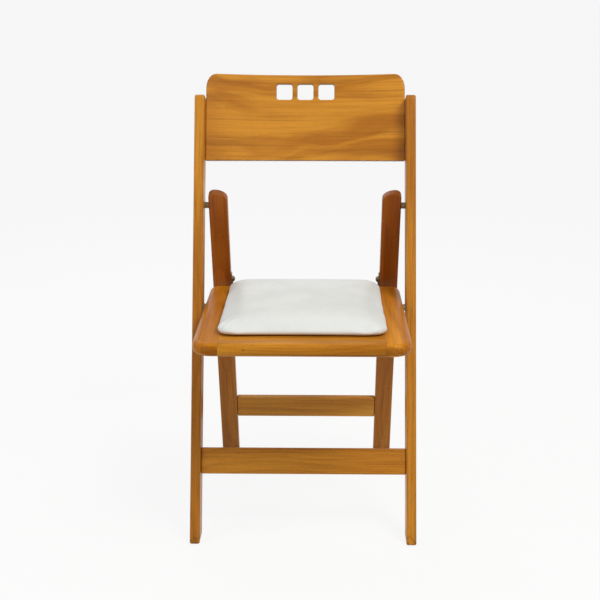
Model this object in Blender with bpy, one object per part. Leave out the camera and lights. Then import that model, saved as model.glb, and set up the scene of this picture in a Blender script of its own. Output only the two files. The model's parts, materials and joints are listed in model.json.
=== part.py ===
"""A folding wooden chair with a bent plywood back and a padded seat.

Two long stiles are front legs and back uprights in one. A rear leg frame hangs on
two bolts near their upper third, and the seat board turns on two more bolts.
A pin behind the seat runs in a slotted steel plate on each rear leg, so lifting the
front of the seat draws the rear legs in until the chair lies flat.

Metres, +Z up. The chair faces -Y and stands with its middle over the origin.
"""
import math

import bmesh
import bpy
from mathutils import Matrix
from mathutils import Vector

# Frame
CHAIR_WIDTH = 0.430
STILE_THICKNESS = 0.019
STILE_DEPTH = 0.046
STILE_LENGTH = 0.869
STILE_LEAN = math.radians(19.0)
STILE_TOP_RADIUS = 0.009
STILE_ROUND_OVER = 0.003

FRONT_RAIL_HEIGHT = 0.0495
FRONT_RAIL_THICKNESS = 0.017
FRONT_RAIL_SETBACK = 0.007
FRONT_RAIL_UP = 0.135
TENON_LENGTH = 0.010
TENON_SHOULDER = 0.004
RAIL_ROUND_OVER = 0.0025

BACK_HEIGHT = 0.174
BACK_RISE = 0.049
BACK_LOWER_ARCH = 0.003
BACK_THICKNESS = 0.010
BACK_SETBACK = 0.033
BACK_SAGITTA = 0.015
BACK_CORNER_ACROSS = 0.020
BACK_CORNER_DOWN = 0.029
BACK_ROUND_OVER = 0.002
BACK_STRIPS = 20
WINDOW_COUNT = 3
WINDOW_SIZE = 0.0315
WINDOW_PITCH = 0.0415
WINDOW_DOWN = 0.018
WINDOW_RADIUS = 0.005
WINDOW_EASE = 0.0018

# Rear legs
LEG_SIDE_GAP = 0.008
LEG_WIDTH = 0.037
LEG_THICKNESS = 0.017
LEG_LEAN = math.radians(20.0)
LEG_TOP = 0.031
LEG_TOP_OUTER_DROP = 0.010
LEG_TOP_INNER_DROP = 0.017
LEG_CROWN_SHARE = 0.30
LEG_ROUND_OVER = 0.002
LEG_BEHIND_EDGE = 0.002
LEG_PIVOT_DOWN = 0.213
REAR_RAIL_UP = 0.1098
REAR_RAIL_HEIGHT = 0.0525
REAR_RAIL_THICKNESS = 0.013

# Seat
SEAT_SIDE_GAP = 0.0055
SEAT_FRONT = 0.284
SEAT_LEG_GAP = 0.017
SEAT_THICKNESS = 0.024
SEAT_FRONT_RADIUS = 0.034
SEAT_REAR_RADIUS = 0.020
SEAT_ROUND_OVER = 0.0105
SEAT_ROUND_STEPS = 5
SEAT_PIVOT_UP = 0.455

CUSHION_SIDE_GAP = 0.002
CUSHION_LAP = 0.0045
CUSHION_HEIGHT = 0.030
CUSHION_FRONT_MARGIN = 0.043
CUSHION_REAR_MARGIN = 0.021
CUSHION_FRONT_RADIUS = 0.026
CUSHION_REAR_RADIUS = 0.044
CUSHION_LEAST_RADIUS = 0.011
CUSHION_DRAW_IN = 0.0015
CUSHION_TUCK = 0.005
CUSHION_SHOULDER = 0.020
CUSHION_FULLEST_SHARE = 0.34
CUSHION_SIDE_SHARE = 0.82
CUSHION_CROWN_SHARE = 0.78
CUSHION_STEPS = 5
CUSHION_SECTIONS = 7
CUSHION_BASE_INSET = 0.010
CUSHION_BASE_THICKNESS = 0.004
CUSHION_SCREW_INSET = 0.045
CUSHION_SCREW_BITE = 0.0028

# Steel fittings
BOLT_RADIUS = 0.0035
BOLT_HEAD_RADIUS = 0.0065
BOLT_HEAD_HEIGHT = 0.004
SPACER_RADIUS = 0.0063
BUSH_WALL = 0.0014
LEG_BUSH_LENGTH = 0.022
SEAT_BUSH_LENGTH = 0.026
PIN_RADIUS = 0.003
PIN_BEHIND_SEAT = 0.0225
PIN_ABOVE_SEAT = 0.0075
PIN_HEAD_RADIUS = 0.005
PIN_HEAD_HEIGHT = 0.0015
PLATE_THICKNESS = 0.0025
PLATE_EDGE = 0.001
PLATE_WALL = 0.004
PLATE_CORNER = 0.005
PLATE_END = 0.0115
BRACKET_THICKNESS = 0.0025
BRACKET_WIDTH = 0.028
BRACKET_REACH = 0.042
BRACKET_SCREW_EDGE = 0.0105
BRACKET_SCREW_PITCH = 0.017
EAR_RADIUS = 0.0065
EAR_GAP = 0.001
SCREW_RADIUS = 0.002
SCREW_HEAD_RADIUS = 0.004
SCREW_HEAD_HEIGHT = 0.0016
BACK_SCREW_EDGE = 0.042
BACK_SCREW_BITE = 0.018
FITTING_SCREW_BITE = 0.011

# Feet
GLIDE_RADIUS = 0.0075
GLIDE_HEIGHT = 0.002

# Fits
GAP = 0.0003
CUT_PAST = 0.004
ROUND_SIDES = 16
ARC_STEPS = 6
EASE_STEPS = 3
SLOT_STEPS = 16

SIDES = (("left", -1), ("right", 1))

# Places that follow from the sizes above
INNER_HALF = CHAIR_WIDTH / 2 - STILE_THICKNESS
BACK_UP = STILE_LENGTH + BACK_RISE - BACK_HEIGHT
LEG_PIVOT_UP = STILE_LENGTH - LEG_PIVOT_DOWN
LEG_OUTER = INNER_HALF - LEG_SIDE_GAP
LEG_INNER = LEG_OUTER - LEG_WIDTH
FOOT_LEVEL = GLIDE_HEIGHT + GAP
FOLD_TURN = math.pi / 2 + STILE_LEAN
LEG_TURN = STILE_LEAN + LEG_LEAN
LEG_RATIO = LEG_TURN / FOLD_TURN
LEG_PIVOT_BACK = STILE_DEPTH - LEG_BEHIND_EDGE - LEG_THICKNESS / 2
FOLDED_GAP = 0.001
SEAT_PIVOT_BACK = LEG_PIVOT_BACK - (SEAT_THICKNESS + LEG_THICKNESS) / 2 - FOLDED_GAP
SEAT_HALF = INNER_HALF - SEAT_SIDE_GAP
SEAT_TOP = SEAT_THICKNESS / 2
CUSHION_HALF = LEG_INNER - CUSHION_SIDE_GAP
SEAT_JOINT = CUSHION_HALF - CUSHION_LAP


def frame_point(back, up):
    """Side-view place of a point given along and square to the stile."""
    y = back * math.cos(STILE_LEAN) + up * math.sin(STILE_LEAN)
    z = up * math.cos(STILE_LEAN) - back * math.sin(STILE_LEAN)
    return Vector((y, z))


LEG_PIVOT = frame_point(LEG_PIVOT_BACK, LEG_PIVOT_UP)
SEAT_PIVOT = frame_point(SEAT_PIVOT_BACK, SEAT_PIVOT_UP)
REAR_RAIL_DOWN = LEG_PIVOT.y / math.cos(LEG_LEAN) - REAR_RAIL_UP - REAR_RAIL_HEIGHT


def leg_front_at(height):
    """Side-view place of a rear leg's front face at some height above the floor."""
    middle = LEG_PIVOT.x + (LEG_PIVOT.y - height) * math.tan(LEG_LEAN)
    return middle - LEG_THICKNESS / 2 / math.cos(LEG_LEAN)


SEAT_REAR = leg_front_at(SEAT_PIVOT.y + SEAT_TOP) - SEAT_PIVOT.x - SEAT_LEG_GAP
PIN_BACK = SEAT_REAR + PIN_BEHIND_SEAT
PIN_UP = SEAT_TOP + PIN_ABOVE_SEAT


def clear_scene():
    for old in list(bpy.data.objects):
        bpy.data.objects.remove(old, do_unlink=True)


def make_material(name, colour, roughness, metallic=0.0):
    material = bpy.data.materials.new(name)
    material.use_nodes = True
    shader = material.node_tree.nodes["Principled BSDF"]
    shader.inputs["Base Color"].default_value = (*colour, 1.0)
    shader.inputs["Roughness"].default_value = roughness
    shader.inputs["Metallic"].default_value = metallic
    material.diffuse_color = (*colour, 1.0)
    return material


def make_empty(name, y, z, tilt, parent):
    """A joint axis along X, which the pieces of one moving body hang on."""
    empty = bpy.data.objects.new(name, None)
    empty.location = (0.0, y, z)
    empty.rotation_euler = (tilt, 0.0, 0.0)
    empty.parent = parent
    bpy.context.scene.collection.objects.link(empty)
    return empty


def add_prism(bm, outline, axis, start, end):
    """Extrude a closed outline along one axis; the outline uses the other two in order."""
    places = {"x": (1, 2, 0), "y": (0, 2, 1), "z": (0, 1, 2)}[axis]
    corners = []
    for point in outline:
        place = [0.0, 0.0, 0.0]
        place[places[0]] = point[0]
        place[places[1]] = point[1]
        place[places[2]] = start
        corners.append(bm.verts.new(place))
    face = bm.faces.new(corners)
    step = [0.0, 0.0, 0.0]
    step[places[2]] = end - start
    grown = bmesh.ops.extrude_face_region(bm, geom=[face])
    moved = [item for item in grown["geom"] if isinstance(item, bmesh.types.BMVert)]
    bmesh.ops.translate(bm, verts=moved, vec=step)


def add_skin(bm, rings):
    """Join rings of points, each to the next, and close both ends."""
    count = len(rings[0])
    for ring, following in zip(rings, rings[1:]):
        for index in range(count):
            after = (index + 1) % count
            bm.faces.new((ring[index], ring[after], following[after], following[index]))
    bm.faces.new(rings[0])
    bm.faces.new(rings[-1])


def circle(centre, radius, sides=ROUND_SIDES):
    points = []
    for index in range(sides):
        angle = 2 * math.pi * index / sides
        points.append((centre[0] + radius * math.cos(angle), centre[1] + radius * math.sin(angle)))
    return points


def add_round(bm, centre, radius, axis, start, end):
    add_prism(bm, circle(centre, radius), axis, start, end)


def rounded(corners):
    """Outline through (a, b, radius) corners, each turned with an arc."""
    points = []
    count = len(corners)
    for index in range(count):
        here = Vector(corners[index][:2])
        radius = corners[index][2]
        before = (Vector(corners[index - 1][:2]) - here).normalized()
        after = (Vector(corners[(index + 1) % count][:2]) - here).normalized()
        if radius == 0:
            points.append(here)
            continue
        half = before.angle(after) / 2
        centre = here + (before + after).normalized() * (radius / math.sin(half))
        first = here + before * (radius / math.tan(half)) - centre
        last = here + after * (radius / math.tan(half)) - centre
        sweep = first.angle_signed(last)
        for step in range(ARC_STEPS + 1):
            turn = -sweep * step / ARC_STEPS
            arm = Matrix.Rotation(turn, 2) @ first
            points.append(centre + arm)
    return points


def box_outline(low_a, high_a, low_b, high_b, radius=0.0):
    corners = ((low_a, low_b), (high_a, low_b), (high_a, high_b), (low_a, high_b))
    return rounded([(a, b, radius) for a, b in corners])


def make_piece(name, bm, material, parent, round_over=0.0, segments=2):
    """One named solid, with its long edges eased where it is wood."""
    bmesh.ops.recalc_face_normals(bm, faces=bm.faces)
    mesh = bpy.data.meshes.new(name)
    bm.to_mesh(mesh)
    bm.free()
    mesh.shade_smooth()
    mesh.set_sharp_from_angle(angle=math.radians(35.0))
    piece = bpy.data.objects.new(name, mesh)
    piece.parent = parent
    mesh.materials.append(material)
    bpy.context.scene.collection.objects.link(piece)
    if round_over:
        bevel = piece.modifiers.new("round_over", "BEVEL")
        bevel.width = round_over
        bevel.segments = segments
        bevel.limit_method = "ANGLE"
        bevel.angle_limit = math.radians(40.0)
    return piece


def apply_boolean(piece, tool_bm, operation="DIFFERENCE"):
    bmesh.ops.recalc_face_normals(tool_bm, faces=tool_bm.faces)
    mesh = bpy.data.meshes.new("tool_" + piece.name)
    tool_bm.to_mesh(mesh)
    tool_bm.free()
    tool = bpy.data.objects.new("tool_" + piece.name, mesh)
    tool.parent = piece.parent
    tool.hide_render = True
    tool.display_type = "WIRE"
    bpy.context.scene.collection.objects.link(tool)
    boolean = piece.modifiers.new(operation.lower(), "BOOLEAN")
    boolean.operation = operation
    boolean.solver = "EXACT"
    boolean.use_self = True
    boolean.object = tool


def turned(point, angle):
    """A side-view point after the front has been lifted by this angle."""
    y = point[0] * math.cos(angle) + point[1] * math.sin(angle)
    z = point[1] * math.cos(angle) - point[0] * math.sin(angle)
    return Vector((y, z))


def slot_path():
    """Way of the seat pin in the rear leg's own frame, from open to folded flat."""
    path = []
    for step in range(SLOT_STEPS + 1):
        fold = FOLD_TURN * step / SLOT_STEPS
        pin = SEAT_PIVOT + turned((PIN_BACK, PIN_UP), fold) - LEG_PIVOT
        path.append(turned(pin, LEG_LEAN - LEG_RATIO * fold))
    return path


def ribbon(path, half_width):
    """Outline at an even distance round a path, with round ends."""
    last = len(path) - 1
    one_side = []
    other_side = []
    for index, point in enumerate(path):
        along = (path[min(index + 1, last)] - path[max(index - 1, 0)]).normalized()
        across = Vector((-along.y, along.x)) * half_width
        one_side.append(point + across)
        other_side.append(point - across)
    outline = list(one_side)
    outline += end_arc(path[last], one_side[last] - path[last])
    outline += reversed(other_side)
    outline += end_arc(path[0], other_side[0] - path[0])
    return outline


def end_arc(centre, arm):
    points = []
    for step in range(1, 2 * ARC_STEPS):
        turn = Matrix.Rotation(-math.pi * step / (2 * ARC_STEPS), 2)
        points.append(centre + turn @ arm)
    return points


def plate_outline(margin):
    """Side view of a guide plate: straight along the leg, bellied out behind it round the slot."""
    path = slot_path()
    front = -LEG_THICKNESS / 2 + PLATE_EDGE - margin
    back = LEG_THICKNESS / 2 - PLATE_EDGE + margin
    belly = max(point.x for point in path) + PIN_RADIUS + PLATE_WALL + margin
    upper_screw, lower_screw = plate_screws()
    top = upper_screw.y + PLATE_CORNER + margin
    bottom = lower_screw.y - PLATE_CORNER - margin
    upper_bend = path[SLOT_STEPS // 4].y
    lower_bend = path[SLOT_STEPS * 5 // 8].y
    return rounded((
        (front, bottom, PLATE_CORNER),
        (back, bottom, PLATE_CORNER),
        (belly, lower_bend, 3 * PLATE_CORNER),
        (belly, upper_bend, 3 * PLATE_CORNER),
        (back, top, PLATE_CORNER),
        (front, top, PLATE_CORNER),
    ))


def plate_screws():
    """Centres of a guide plate's two screws, past the ends of its slot."""
    heights = [point.y for point in slot_path()]
    return (Vector((0.0, max(heights) + PLATE_END)), Vector((0.0, min(heights) - PLATE_END)))


def make_fastener(name, centre, axis, head_face, tip, radius, head_radius, head_height, material, parent):
    """A headed pin turned in one piece about its axis."""
    way = 1 if tip > head_face else -1
    places = {"x": (0, 1, 2), "z": (2, 0, 1)}[axis]
    bm = bmesh.new()
    rings = []
    steps = (
        (head_face - way * head_height, head_radius),
        (head_face, head_radius),
        (head_face, radius),
        (tip, radius),
    )
    for along, ring_radius in steps:
        ring = []
        for point in circle(centre, ring_radius):
            place = [0.0, 0.0, 0.0]
            place[places[0]] = along
            place[places[1]] = point[0]
            place[places[2]] = point[1]
            ring.append(bm.verts.new(place))
        rings.append(ring)
    add_skin(bm, rings)
    return make_piece(name, bm, material, parent)


def make_tube(name, centre, outer, inner, start, end, material, parent):
    bm = bmesh.new()
    add_round(bm, centre, outer, "x", start, end)
    tube = make_piece(name, bm, material, parent)
    bore = bmesh.new()
    add_round(bore, centre, inner, "x", min(start, end) - CUT_PAST, max(start, end) + CUT_PAST)
    apply_boolean(tube, bore)
    return tube


def back_screw_heights():
    return (BACK_UP + BACK_SCREW_EDGE, STILE_LENGTH - BACK_SCREW_EDGE)


def back_screw_setback():
    """Depth of the back's screws: half way between its end and the screw's tip."""
    half = INNER_HALF - GAP
    bend_at_tip = BACK_SAGITTA * (1 - ((half - BACK_SCREW_BITE) / half) ** 2)
    return BACK_SETBACK + BACK_THICKNESS / 2 + bend_at_tip / 2


def make_stile(name, side, material, parent):
    def foot(back):
        return (FOOT_LEVEL + back * math.sin(STILE_LEAN)) / math.cos(STILE_LEAN)

    outline = rounded((
        (0.0, foot(0.0), 0.0),
        (STILE_DEPTH, foot(STILE_DEPTH), 0.0),
        (STILE_DEPTH, STILE_LENGTH, STILE_TOP_RADIUS),
        (0.0, STILE_LENGTH, STILE_TOP_RADIUS),
    ))
    outer = side * CHAIR_WIDTH / 2
    inner = side * INNER_HALF
    bm = bmesh.new()
    add_prism(bm, outline, "x", outer, inner)
    stile = make_piece(name, bm, material, parent, STILE_ROUND_OVER, 3)

    past_outer = outer + side * CUT_PAST
    past_inner = inner - side * CUT_PAST
    holes = bmesh.new()
    pivots = ((LEG_PIVOT_BACK, LEG_PIVOT_UP), (SEAT_PIVOT_BACK, SEAT_PIVOT_UP))
    for pivot in pivots:
        add_bolt_hole(
            holes, pivot, BOLT_RADIUS, BOLT_HEAD_RADIUS, BOLT_HEAD_HEIGHT,
            outer, past_outer, past_inner,
        )
    for up in back_screw_heights():
        place = (back_screw_setback(), up)
        add_bolt_hole(holes, place, SCREW_RADIUS, SCREW_HEAD_RADIUS, SCREW_HEAD_HEIGHT,
                      outer, past_outer, past_inner)
    mortise = box_outline(
        FRONT_RAIL_SETBACK + TENON_SHOULDER - GAP,
        FRONT_RAIL_SETBACK + FRONT_RAIL_THICKNESS - TENON_SHOULDER + GAP,
        FRONT_RAIL_UP + TENON_SHOULDER - GAP,
        FRONT_RAIL_UP + FRONT_RAIL_HEIGHT - TENON_SHOULDER + GAP,
    )
    add_prism(holes, mortise, "x", inner + side * (TENON_LENGTH + GAP), past_inner)
    apply_boolean(stile, holes)
    return stile


def add_bolt_hole(bm, place, radius, head_radius, head_height, outer, past_outer, past_inner):
    """A stepped hole from the outer face in, wide enough for the head to lie flush."""
    way = 1 if past_inner > past_outer else -1
    seat = outer + way * (head_height + 2 * GAP)
    rings = []
    steps = (
        (past_outer, head_radius + GAP),
        (seat, head_radius + GAP),
        (seat, radius + GAP),
        (past_inner, radius + GAP),
    )
    for along, ring_radius in steps:
        rings.append([bm.verts.new((along, point[0], point[1])) for point in circle(place, ring_radius)])
    add_skin(bm, rings)


def make_rail(name, half, low_y, high_y, low_z, high_z, material, parent):
    """A rail with a stub tenon on each end."""
    bm = bmesh.new()
    body_half = half - GAP
    add_prism(bm, box_outline(low_y, high_y, low_z, high_z), "x", -body_half, body_half)
    rail = make_piece(name, bm, material, parent, RAIL_ROUND_OVER)
    tenons = bmesh.new()
    outline = box_outline(
        low_y + TENON_SHOULDER, high_y - TENON_SHOULDER, low_z + TENON_SHOULDER, high_z - TENON_SHOULDER
    )
    add_prism(tenons, outline, "x", -half - TENON_LENGTH, half + TENON_LENGTH)
    apply_boolean(rail, tenons, "UNION")
    return rail


def add_window(bm, x, top):
    """A square cutter that flares at both faces, so that the window's rims come out eased."""
    front = BACK_SETBACK
    back = BACK_SETBACK + BACK_THICKNESS
    levels = [(front - CUT_PAST, WINDOW_EASE)]
    for step in range(EASE_STEPS + 1):
        angle = math.pi / 2 * (1 - step / EASE_STEPS)
        levels.append((front + WINDOW_EASE * (1 - math.sin(angle)), WINDOW_EASE * (1 - math.cos(angle))))
    levels += [(front + back - y, grown) for y, grown in reversed(levels)]
    half = WINDOW_SIZE / 2
    middle = top - half
    rings = []
    for y, grown in levels:
        reach = half + grown
        outline = box_outline(x - reach, x + reach, middle - reach, middle + reach, WINDOW_RADIUS + grown)
        rings.append([bm.verts.new((point[0], y, point[1])) for point in outline])
    add_skin(bm, rings)


def make_backrest(material, parent):
    """The bent panel: cut flat from ply with its windows, then pressed to its curve."""
    half = INNER_HALF - GAP
    top = BACK_UP + BACK_HEIGHT
    outline = []
    for strip in range(BACK_STRIPS + 1):
        share = 2 * strip / BACK_STRIPS - 1
        outline.append((half * share, BACK_UP + BACK_LOWER_ARCH * (1 - share ** 2)))
    for side in (1, -1):
        corner = []
        for step in range(ARC_STEPS + 1):
            angle = math.pi / 2 * step / ARC_STEPS
            x = half - BACK_CORNER_ACROSS * (1 - math.cos(angle))
            z = top - BACK_CORNER_DOWN * (1 - math.sin(angle))
            corner.append((side * x, z))
        outline += corner if side > 0 else reversed(corner)
    bm = bmesh.new()
    add_prism(bm, outline, "y", BACK_SETBACK, BACK_SETBACK + BACK_THICKNESS)
    for strip in range(1, BACK_STRIPS):
        x = half * (2 * strip / BACK_STRIPS - 1)
        everything = bm.verts[:] + bm.edges[:] + bm.faces[:]
        bmesh.ops.bisect_plane(bm, geom=everything, plane_co=(x, 0, 0), plane_no=(1, 0, 0))
    panel = make_piece("backrest_panel", bm, material, parent, BACK_ROUND_OVER)

    holes = bmesh.new()
    for index in range(WINDOW_COUNT):
        add_window(holes, (index - (WINDOW_COUNT - 1) / 2) * WINDOW_PITCH, top - WINDOW_DOWN)
    apply_boolean(panel, holes)

    bpy.context.view_layer.update()
    cut_panel = panel.evaluated_get(bpy.context.evaluated_depsgraph_get())
    mesh = bpy.data.meshes.new_from_object(cut_panel)
    panel.modifiers.clear()
    panel.data = mesh
    for vertex in mesh.vertices:
        vertex.co.y += BACK_SAGITTA * (1 - (vertex.co.x / half) ** 2)

    screw_holes = bmesh.new()
    for _, side in SIDES:
        for up in back_screw_heights():
            start = side * (half + CUT_PAST)
            end = side * (half - BACK_SCREW_BITE - GAP)
            add_round(screw_holes, (back_screw_setback(), up), SCREW_RADIUS + GAP, "x", start, end)
    apply_boolean(panel, screw_holes)
    return panel


def make_rear_leg(name, side, material, parent):
    """A flat leg whose top falls in a curve from its crown to its inner edge."""
    length = (LEG_PIVOT.y - FOOT_LEVEL) / math.cos(LEG_LEAN) + LEG_THICKNESS
    outer = side * LEG_OUTER
    inner = side * LEG_INNER
    crown = outer + (inner - outer) * LEG_CROWN_SHARE
    outline = [(outer, -length), (inner, -length)]
    for edge, drop in ((inner, LEG_TOP_INNER_DROP), (outer, LEG_TOP_OUTER_DROP)):
        quarter = []
        for step in range(ARC_STEPS + 1):
            angle = math.pi / 2 * step / ARC_STEPS
            x = crown + (edge - crown) * math.cos(angle)
            quarter.append((x, LEG_TOP - drop * (1 - math.sin(angle))))
        outline += quarter if edge == inner else reversed(quarter[:-1])
    bm = bmesh.new()
    add_prism(bm, outline, "y", -LEG_THICKNESS / 2, LEG_THICKNESS / 2)
    floor_up = Vector((0.0, math.sin(LEG_LEAN), math.cos(LEG_LEAN)))
    everything = bm.verts[:] + bm.edges[:] + bm.faces[:]
    cut = bmesh.ops.bisect_plane(
        bm, geom=everything, plane_co=floor_up * (FOOT_LEVEL - LEG_PIVOT.y), plane_no=floor_up,
        clear_inner=True,
    )
    rim = [item for item in cut["geom_cut"] if isinstance(item, bmesh.types.BMEdge)]
    bmesh.ops.edgeloop_fill(bm, edges=rim)
    leg = make_piece(name, bm, material, parent, LEG_ROUND_OVER)

    holes = bmesh.new()
    past_outer = outer + side * CUT_PAST
    past_inner = inner - side * CUT_PAST
    bush_hole = BOLT_RADIUS + GAP + BUSH_WALL + GAP
    add_round(holes, (0.0, 0.0), bush_hole, "x", past_outer, outer - side * (LEG_BUSH_LENGTH + GAP))
    add_prism(holes, plate_outline(GAP), "x", inner + side * (PLATE_THICKNESS + GAP), past_inner)
    for place in plate_screws():
        tip = inner + side * (PLATE_THICKNESS + FITTING_SCREW_BITE + GAP)
        add_round(holes, place, SCREW_RADIUS + GAP, "x", past_inner, tip)
    mortise = box_outline(
        -REAR_RAIL_THICKNESS / 2 + TENON_SHOULDER - GAP,
        REAR_RAIL_THICKNESS / 2 - TENON_SHOULDER + GAP,
        -REAR_RAIL_DOWN - REAR_RAIL_HEIGHT + TENON_SHOULDER - GAP,
        -REAR_RAIL_DOWN - TENON_SHOULDER + GAP,
    )
    add_prism(holes, mortise, "x", inner + side * (TENON_LENGTH + GAP), past_inner)
    apply_boolean(leg, holes)
    return leg


def make_guide_plate(name, side, material, parent):
    """The slotted plate let into a leg's inner face."""
    path = slot_path()
    outer = side * (LEG_INNER + PLATE_THICKNESS)
    inner = side * LEG_INNER
    bm = bmesh.new()
    add_prism(bm, plate_outline(0.0), "x", outer, inner)
    plate = make_piece(name, bm, material, parent)
    holes = bmesh.new()
    past_outer = outer + side * CUT_PAST
    past_inner = inner - side * CUT_PAST
    add_prism(holes, ribbon(path, PIN_RADIUS + GAP), "x", past_outer, past_inner)
    for place in plate_screws():
        add_round(holes, place, SCREW_RADIUS + GAP, "x", past_outer, past_inner)
    apply_boolean(plate, holes)
    return plate


def make_seat_piece(name, low_x, high_x, material, parent):
    """One of the glued seat pieces, sawn from the seat's rounded slab."""
    outline = rounded((
        (-SEAT_HALF, -SEAT_FRONT, SEAT_FRONT_RADIUS),
        (SEAT_HALF, -SEAT_FRONT, SEAT_FRONT_RADIUS),
        (SEAT_HALF, SEAT_REAR, SEAT_REAR_RADIUS),
        (-SEAT_HALF, SEAT_REAR, SEAT_REAR_RADIUS),
    ))
    bm = bmesh.new()
    add_prism(bm, outline, "z", -SEAT_TOP, SEAT_TOP)
    piece = make_piece(name, bm, material, parent, SEAT_ROUND_OVER, SEAT_ROUND_STEPS)
    share = bmesh.new()
    plan = box_outline(low_x, high_x, -SEAT_FRONT - CUT_PAST, SEAT_REAR + CUT_PAST)
    add_prism(share, plan, "z", -SEAT_TOP - CUT_PAST, SEAT_TOP + CUT_PAST)
    apply_boolean(piece, share, "INTERSECT")
    return piece


def make_seat_board(material, parent):
    """The middle of the seat, which carries the pad and the slide brackets."""
    half = SEAT_JOINT - GAP / 2
    board = make_seat_piece("seat_board", -half, half, material, parent)
    holes = bmesh.new()
    for _, side in SIDES:
        for place in bracket_screws(side):
            tip = -SEAT_TOP + FITTING_SCREW_BITE + GAP
            add_round(holes, place, SCREW_RADIUS + GAP, "z", -SEAT_TOP - CUT_PAST, tip)
    for place in cushion_screws():
        add_round(holes, place, SCREW_RADIUS + GAP, "z", -SEAT_TOP - CUT_PAST, SEAT_TOP + CUT_PAST)
    apply_boolean(board, holes)
    return board


def make_seat_side(name, side, material, parent):
    """A side piece of the seat, with its pivot hole."""
    inner = side * (SEAT_JOINT + GAP / 2)
    past = side * (SEAT_HALF + CUT_PAST)
    piece = make_seat_piece(name, min(inner, past), max(inner, past), material, parent)
    bore = bmesh.new()
    bush_hole = BOLT_RADIUS + GAP + BUSH_WALL + GAP
    add_round(bore, (0.0, 0.0), bush_hole, "x", past, side * (SEAT_HALF - SEAT_BUSH_LENGTH - GAP))
    apply_boolean(piece, bore)
    return piece


def cushion_outline(inset):
    """Plan of the pad, drawn in between its corners, at some inset from its widest line."""
    half_x = CUSHION_HALF - inset
    front = -SEAT_FRONT + CUSHION_FRONT_MARGIN + inset
    rear = SEAT_REAR - CUSHION_REAR_MARGIN - inset
    middle = (front + rear) / 2
    half_y = (rear - front) / 2
    front_radius = max(CUSHION_FRONT_RADIUS - inset, CUSHION_LEAST_RADIUS)
    rear_radius = max(CUSHION_REAR_RADIUS - inset, CUSHION_LEAST_RADIUS)
    outline = rounded((
        (-half_x, front, front_radius),
        (half_x, front, front_radius),
        (half_x, rear, rear_radius),
        (-half_x, rear, rear_radius),
    ))
    points = []
    for x, y in dense(outline):
        draw_x = CUSHION_DRAW_IN * (1 - ((y - middle) / half_y) ** 2)
        draw_y = CUSHION_DRAW_IN * (1 - (x / half_x) ** 2)
        points.append((x * (1 - draw_x / half_x), middle + (y - middle) * (1 - draw_y / half_y)))
    return points


def dense(outline):
    """The outline with its long straight sides split, so that they can curve."""
    points = []
    for index, point in enumerate(outline):
        points.append(point)
        following = outline[(index + 1) % len(outline)]
        ends_an_arc = (index + 1) % (ARC_STEPS + 1) == 0
        if ends_an_arc:
            for section in range(1, CUSHION_SECTIONS):
                points.append(point.lerp(following, section / CUSHION_SECTIONS))
    return points


def cushion_profile():
    """(inset, share of height) steps up the pad's side and over its crown."""
    steps = [(CUSHION_TUCK, 0.0), (CUSHION_TUCK / 4, CUSHION_FULLEST_SHARE / 2)]
    side = CUSHION_SIDE_SHARE - CUSHION_FULLEST_SHARE
    for index in range(CUSHION_STEPS + 1):
        turn = math.pi / 2 * index / CUSHION_STEPS
        inset = CUSHION_SHOULDER * (1 - math.cos(turn))
        steps.append((inset, CUSHION_FULLEST_SHARE + side * math.sin(turn)))
    reach = CUSHION_CROWN_SHARE * CUSHION_HALF - CUSHION_SHOULDER
    for index in range(1, CUSHION_STEPS + 1):
        steps.append((CUSHION_SHOULDER + reach * index / CUSHION_STEPS, CUSHION_SIDE_SHARE))
    return steps


def cushion_dome(x, y, inset):
    """Share of the pad's height that its crown adds at a point this far in from its edge."""
    front = -SEAT_FRONT + CUSHION_FRONT_MARGIN
    rear = SEAT_REAR - CUSHION_REAR_MARGIN
    across = x / CUSHION_HALF
    along = (2 * y - front - rear) / (rear - front)
    start = min(1.0, max(0.0, inset / (2 * CUSHION_SHOULDER)))
    ease = start ** 2 * (3 - 2 * start)
    return (1 - CUSHION_SIDE_SHARE) * ease * (1 - across ** 2) * (1 - along ** 2)


def make_cushion(material, parent):
    """The pad: its cover wraps the base, swells to its fullest line and rises to a crown."""
    floor = SEAT_TOP + GAP
    pocket = CUSHION_BASE_INSET - GAP
    levels = [(pocket, floor + CUSHION_BASE_THICKNESS + GAP), (pocket, floor)]
    levels += [(inset, floor + CUSHION_HEIGHT * rise) for inset, rise in cushion_profile()]
    bm = bmesh.new()
    rings = []
    for inset, z in levels:
        ring = []
        for x, y in cushion_outline(inset):
            ring.append(bm.verts.new((x, y, z + CUSHION_HEIGHT * cushion_dome(x, y, inset))))
        rings.append(ring)
    add_skin(bm, rings)
    return make_piece("seat_cushion", bm, material, parent)


def cushion_screws():
    rear = SEAT_REAR - CUSHION_REAR_MARGIN - CUSHION_SCREW_INSET
    front = -SEAT_FRONT + CUSHION_FRONT_MARGIN + CUSHION_SCREW_INSET
    x = CUSHION_HALF - CUSHION_SCREW_INSET
    return ((-x, front), (x, front), (x, rear), (-x, rear))


def make_cushion_base(material, parent):
    low = SEAT_TOP + GAP
    bm = bmesh.new()
    add_prism(bm, cushion_outline(CUSHION_BASE_INSET), "z", low, low + CUSHION_BASE_THICKNESS)
    base = make_piece("cushion_base", bm, material, parent)
    holes = bmesh.new()
    for place in cushion_screws():
        add_round(holes, place, SCREW_RADIUS + GAP, "z", low - CUT_PAST, low + CUSHION_SCREW_BITE + GAP)
    apply_boolean(base, holes)
    return base


def bracket_screws(side):
    x = side * (LEG_INNER - EAR_GAP - BRACKET_WIDTH / 2)
    front = SEAT_REAR - BRACKET_REACH + BRACKET_SCREW_EDGE
    return ((x, front), (x, front + BRACKET_SCREW_PITCH))


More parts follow.
